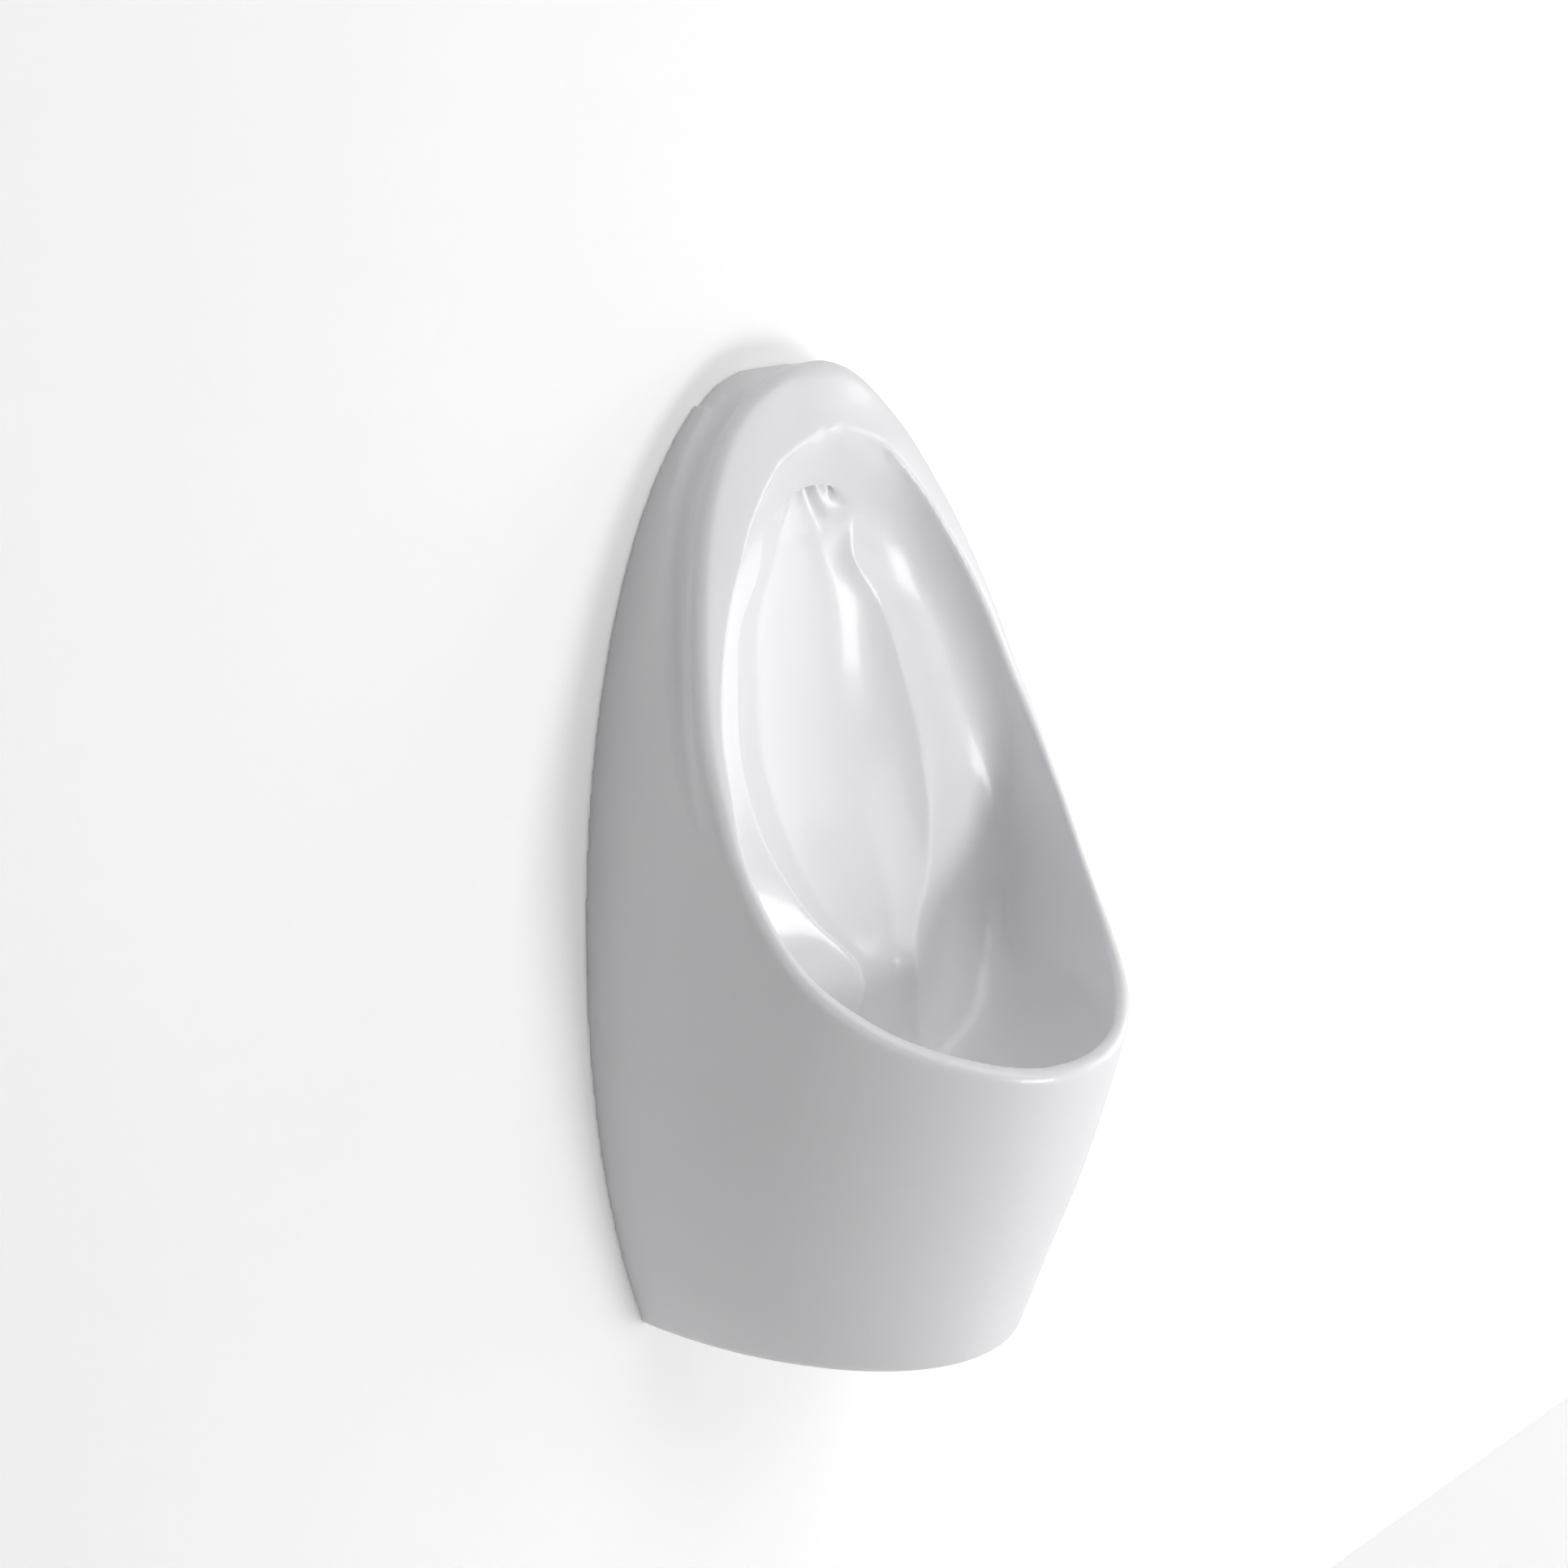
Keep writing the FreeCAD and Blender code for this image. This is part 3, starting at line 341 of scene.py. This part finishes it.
# ---------------------------------------------------------------- water inlet
# A turned brass tail with a half inch pipe thread and a collar, which a rubber gasket seals
# against the back of the china. A thin brass nut on the bowl's side pulls the collar tight.

INLET_LEVEL = 0.135
TAIL_RADIUS = 0.01048
TAIL_THREAD_DEPTH = 0.0009
TAIL_THREAD_PITCH = 0.00181
TAIL_THREAD_START = -0.0008
TAIL_THREAD_TURNS = 6
SPRAY_NUT_MIDDLE = -0.0301
BRASS_TINTS = ((0.66, 0.5, 0.24), (0.76, 0.6, 0.31))
NUT_FACETS = 96
NUT_CHAMFER = 0.12
NUT_EDGE = 0.0003


def turned_metal(name, shades, roughness, turn_axis, centre):
    """Bare metal with the fine rings that a lathe tool leaves round the piece's axis."""
    made = surface(name, shades, roughness, 120, 700, metallic=1.0, bump_strength=0.05)
    nodes, links = made.node_tree.nodes, made.node_tree.links
    shader = nodes["Principled BSDF"]
    place = nodes.new("ShaderNodeTexCoord")
    centred = nodes.new("ShaderNodeMapping")
    centred.inputs["Location"].default_value = centre
    rings = nodes.new("ShaderNodeTexWave")
    rings.wave_type = "BANDS"
    rings.bands_direction = turn_axis
    rings.inputs["Scale"].default_value = 900
    rings.inputs["Distortion"].default_value = 1.5
    marks = nodes.new("ShaderNodeBump")
    marks.inputs["Strength"].default_value = 0.12
    marks.inputs["Distance"].default_value = 0.0001
    links.new(place.outputs["Object"], centred.inputs["Vector"])
    links.new(centred.outputs["Vector"], rings.inputs["Vector"])
    links.new(rings.outputs["Fac"], marks.inputs["Height"])
    links.new(shader.inputs["Normal"].links[0].from_socket, marks.inputs["Normal"])
    links.new(marks.outputs["Normal"], shader.inputs["Normal"])
    return made


def cut_with(piece, tool, operation="DIFFERENCE"):
    """Takes a tool's shape out of a piece, and the tool away."""
    bpy.ops.object.select_all(action="DESELECT")
    bpy.context.view_layer.objects.active = piece
    piece.select_set(True)
    add_modifier(piece, "BOOLEAN", object=tool, operation=operation, solver="EXACT")
    bpy.data.objects.remove(tool)


def thread_tool(radius, depth, pitch, turns, centre, along_wall_axis):
    """A three sided bar wound into a screw, which cuts a thread."""
    bpy.ops.object.select_all(action="DESELECT")
    side = 0.62 * pitch
    bpy.ops.mesh.primitive_circle_add(vertices=3, radius=side, fill_type="NOTHING",
                                      location=(radius - depth + side, 0, 0),
                                      rotation=(math.pi / 2, 0, 0))
    tool = bpy.context.object
    bpy.ops.object.transform_apply(location=False, rotation=True, scale=False)
    bpy.ops.object.mode_set(mode="EDIT")
    bpy.ops.mesh.select_all(action="SELECT")
    bpy.ops.transform.rotate(value=math.pi / 2, orient_axis="Y", center_override=tool.location)
    bpy.ops.object.mode_set(mode="OBJECT")
    bpy.ops.object.transform_apply(location=True, rotation=True, scale=True)
    add_modifier(tool, "SCREW", axis="Z", angle=2 * math.pi, screw_offset=pitch,
                 iterations=turns, steps=40, render_steps=40, use_normal_calculate=True)
    bpy.ops.object.mode_set(mode="EDIT")
    bpy.ops.mesh.select_all(action="DESELECT")
    bpy.ops.mesh.select_mode(type="EDGE")
    bpy.ops.mesh.select_non_manifold(extend=False)
    bpy.ops.mesh.edge_face_add()
    bpy.ops.mesh.select_all(action="SELECT")
    bpy.ops.mesh.normals_make_consistent(inside=False)
    bpy.ops.object.mode_set(mode="OBJECT")
    if along_wall_axis:
        tool.rotation_euler = (math.pi / 2, 0, 0)
    tool.location = centre
    bpy.ops.object.transform_apply(location=True, rotation=True, scale=True)
    return tool


inlet_brass = turned_metal("inlet_brass", BRASS_TINTS, (0.2, 0.32), "Y", (0, 0, -INLET_LEVEL))
tail = eased_copy("inlet_tail", "inlet_tail_brass", "urinal", inlet_brass, 0.0003)
cut_with(tail, thread_tool(TAIL_RADIUS, TAIL_THREAD_DEPTH, TAIL_THREAD_PITCH, TAIL_THREAD_TURNS,
                           (0, TAIL_THREAD_START, INLET_LEVEL), True))
bpy.ops.object.shade_smooth_by_angle(angle=math.radians(40))
eased_copy("inlet_gasket", "inlet_gasket_rubber", "urinal", black_rubber, 0.0004)
eased_copy("spray_gasket", "spray_gasket_rubber", "urinal", black_rubber, 0.0003)


def chamfered_nut(node, name, material, centre, along_wall_axis):
    """A hexagonal nut whose corners are turned down to a cone on both faces."""
    nut = eased_copy(node, name, "urinal", material)
    low_corner, high_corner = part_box(node)
    length_axis = 1 if along_wall_axis else 2
    thick = high_corner[length_axis] - low_corner[length_axis]
    corner_radius = 0.5 * (high_corner[0] - low_corner[0])
    bpy.ops.object.select_all(action="DESELECT")
    bpy.ops.mesh.primitive_cylinder_add(
        vertices=NUT_FACETS, radius=corner_radius, depth=thick, location=centre,
        rotation=(math.pi / 2 if along_wall_axis else 0, 0, 0))
    blank = bpy.context.object
    bpy.ops.object.mode_set(mode="EDIT")
    bpy.ops.mesh.select_all(action="SELECT")
    bpy.ops.mesh.normals_make_consistent(inside=False)
    bpy.ops.object.mode_set(mode="OBJECT")
    add_modifier(blank, "BEVEL", width=NUT_CHAMFER * corner_radius, segments=1,
                 limit_method="ANGLE", angle_limit=math.radians(40))
    bpy.ops.object.transform_apply(location=True, rotation=True, scale=True)
    cut_with(nut, blank, "INTERSECT")
    add_modifier(nut, "BEVEL", width=NUT_EDGE, segments=2, limit_method="ANGLE",
                 angle_limit=math.radians(25))
    bpy.ops.object.shade_smooth_by_angle(angle=math.radians(30))


chamfered_nut("spray_nut", "spray_nut_brass", inlet_brass, (0, SPRAY_NUT_MIDDLE, INLET_LEVEL), True)

# ---------------------------------------------------------------- spray head
# A small chromed brass cap with five jets underneath, screwed on the tail, which spreads the
# flush water over the back of the bowl.

polished_chrome = surface("polished_chrome", ((0.8, 0.81, 0.83), (0.88, 0.885, 0.9)),
                          (0.05, 0.11), 45, 500, metallic=1.0, bump_strength=0.02)
eased_copy("spray_head", "spray_cap_chrome", "urinal", polished_chrome, 0.0005)

# ---------------------------------------------------------------- waste outlet
# A chromed flange with a threaded tail through the bowl's bottom, on a thin gasket. From below a
# thick gasket, a plastic washer and a brass nut clamp it to the china.

DRAIN_PLACE = (0, -0.145)
WASTE_RADIUS = 0.0215
WASTE_THREAD_DEPTH = 0.0008
WASTE_THREAD_PITCH = 0.0022
WASTE_THREAD_START = -0.3305
WASTE_THREAD_TURNS = 10
WASTE_NUT_MIDDLE = -0.3135
flange = eased_copy("waste_flange", "waste_flange_chrome", "urinal", polished_chrome,
                    0.0004)
cut_with(flange, thread_tool(WASTE_RADIUS, WASTE_THREAD_DEPTH, WASTE_THREAD_PITCH,
                             WASTE_THREAD_TURNS, (*DRAIN_PLACE, WASTE_THREAD_START), False))
bpy.ops.object.shade_smooth_by_angle(angle=math.radians(40))
eased_copy("waste_gasket_upper", "waste_gasket_thin", "urinal", black_rubber, 0.0004)
eased_copy("waste_gasket_lower", "waste_gasket_thick", "urinal", black_rubber, 0.0006)
white_plastic = surface("white_plastic", ((0.8, 0.8, 0.785), (0.85, 0.85, 0.84)), (0.24, 0.34),
                        30, 800, bump_strength=0.06)
eased_copy("waste_washer", "waste_washer_plastic", "urinal", white_plastic, 0.0003)
waste_brass = turned_metal("waste_brass", BRASS_TINTS, (0.22, 0.34), "Z", (0, -DRAIN_PLACE[1], 0))
chamfered_nut("waste_nut", "waste_nut_brass", waste_brass, (*DRAIN_PLACE, WASTE_NUT_MIDDLE), False)

# ---------------------------------------------------------------- strainer
# A domed grid of chromed brass with a hole in its middle and two rings of holes round it, which
# sits loose in the flange and lifts out.

eased_copy("strainer_grid", "strainer_chrome", "strainer", polished_chrome)

# ---------------------------------------------------------------- bottle trap
# White moulded plastic: a bottle with a neck and a side branch, a dip tube that hangs in it, a nut
# with grip flutes that presses the seal on the waste's tail, and a fluted cup that screws off for
# cleaning.

FLUTE_FACETS = 16
FLUTE_RADIUS = 0.0024
FLUTE_EDGE = 0.0003
TRAP_NUT_RING, TRAP_NUT_LOW, TRAP_NUT_HIGH, TRAP_NUT_FLUTES = 0.0347, -0.350, -0.3255, 24
CUP_RING, CUP_LOW, CUP_HIGH, CUP_FLUTES = 0.0378, -0.4365, -0.394, 28


def cut_flutes(piece, count, ring_radius, low_end, high_end, centre, along_wall_axis=False):
    """Cuts half round flutes along a piece's axis, all round it, for the hand to grip."""
    bpy.ops.object.select_all(action="DESELECT")
    flutes = []
    for number in range(count):
        angle = 2 * math.pi * number / count
        bpy.ops.mesh.primitive_cylinder_add(
            vertices=FLUTE_FACETS, radius=FLUTE_RADIUS, depth=high_end - low_end,
            location=(ring_radius * math.cos(angle), ring_radius * math.sin(angle), 0))
        flutes.append(bpy.context.object)
    for flute in flutes:
        flute.select_set(True)
    bpy.ops.object.join()
    tool = bpy.context.object
    bpy.ops.object.transform_apply(location=True, rotation=True, scale=True)
    middle = 0.5 * (low_end + high_end)
    if along_wall_axis:
        tool.rotation_euler = (math.pi / 2, 0, 0)
        tool.location = (centre[0], middle, centre[1])
    else:
        tool.location = (centre[0], centre[1], middle)
    bpy.ops.object.transform_apply(location=True, rotation=True, scale=True)
    cut_with(piece, tool)
    add_modifier(piece, "BEVEL", width=FLUTE_EDGE, segments=2, limit_method="ANGLE",
                 angle_limit=math.radians(30))
    bpy.ops.object.shade_smooth_by_angle(angle=math.radians(35))


eased_copy("trap_body", "trap_bottle", "urinal", white_plastic, 0.0008)
eased_copy("trap_dip_tube", "trap_dip_tube_plastic", "urinal", white_plastic, 0.0003)
eased_copy("trap_seal", "trap_seal_rubber", "urinal", black_rubber, 0.0004)
trap_nut = eased_copy("trap_nut", "trap_nut_plastic", "urinal", white_plastic)
cut_flutes(trap_nut, TRAP_NUT_FLUTES, TRAP_NUT_RING, TRAP_NUT_LOW, TRAP_NUT_HIGH, DRAIN_PLACE)
cup = eased_copy("trap_cup", "trap_cup_plastic", "cup", white_plastic)
cut_flutes(cup, CUP_FLUTES, CUP_RING, CUP_LOW, CUP_HIGH, DRAIN_PLACE)
eased_copy("trap_cup_ring", "trap_cup_ring_rubber", "cup", black_rubber, 0.0004)

# ---------------------------------------------------------------- outlet pipe
# A white plastic waste pipe that slides into the trap's branch, with a rubber seal and a fluted
# nut. Its other end goes straight back into the socket in the wall.

OUTLET_LEVEL = -0.367
PIPE_NUT_RING, PIPE_NUT_FRONT, PIPE_NUT_BACK, PIPE_NUT_FLUTES = 0.0322, -0.105, -0.0845, 22
eased_copy("outlet_pipe", "outlet_pipe_plastic", "urinal", white_plastic, 0.0005)
eased_copy("outlet_seal", "outlet_seal_rubber", "urinal", black_rubber, 0.0003)
pipe_nut = eased_copy("outlet_nut", "outlet_nut_plastic", "urinal", white_plastic)
cut_flutes(pipe_nut, PIPE_NUT_FLUTES, PIPE_NUT_RING, PIPE_NUT_FRONT, PIPE_NUT_BACK,
           (0, OUTLET_LEVEL), True)
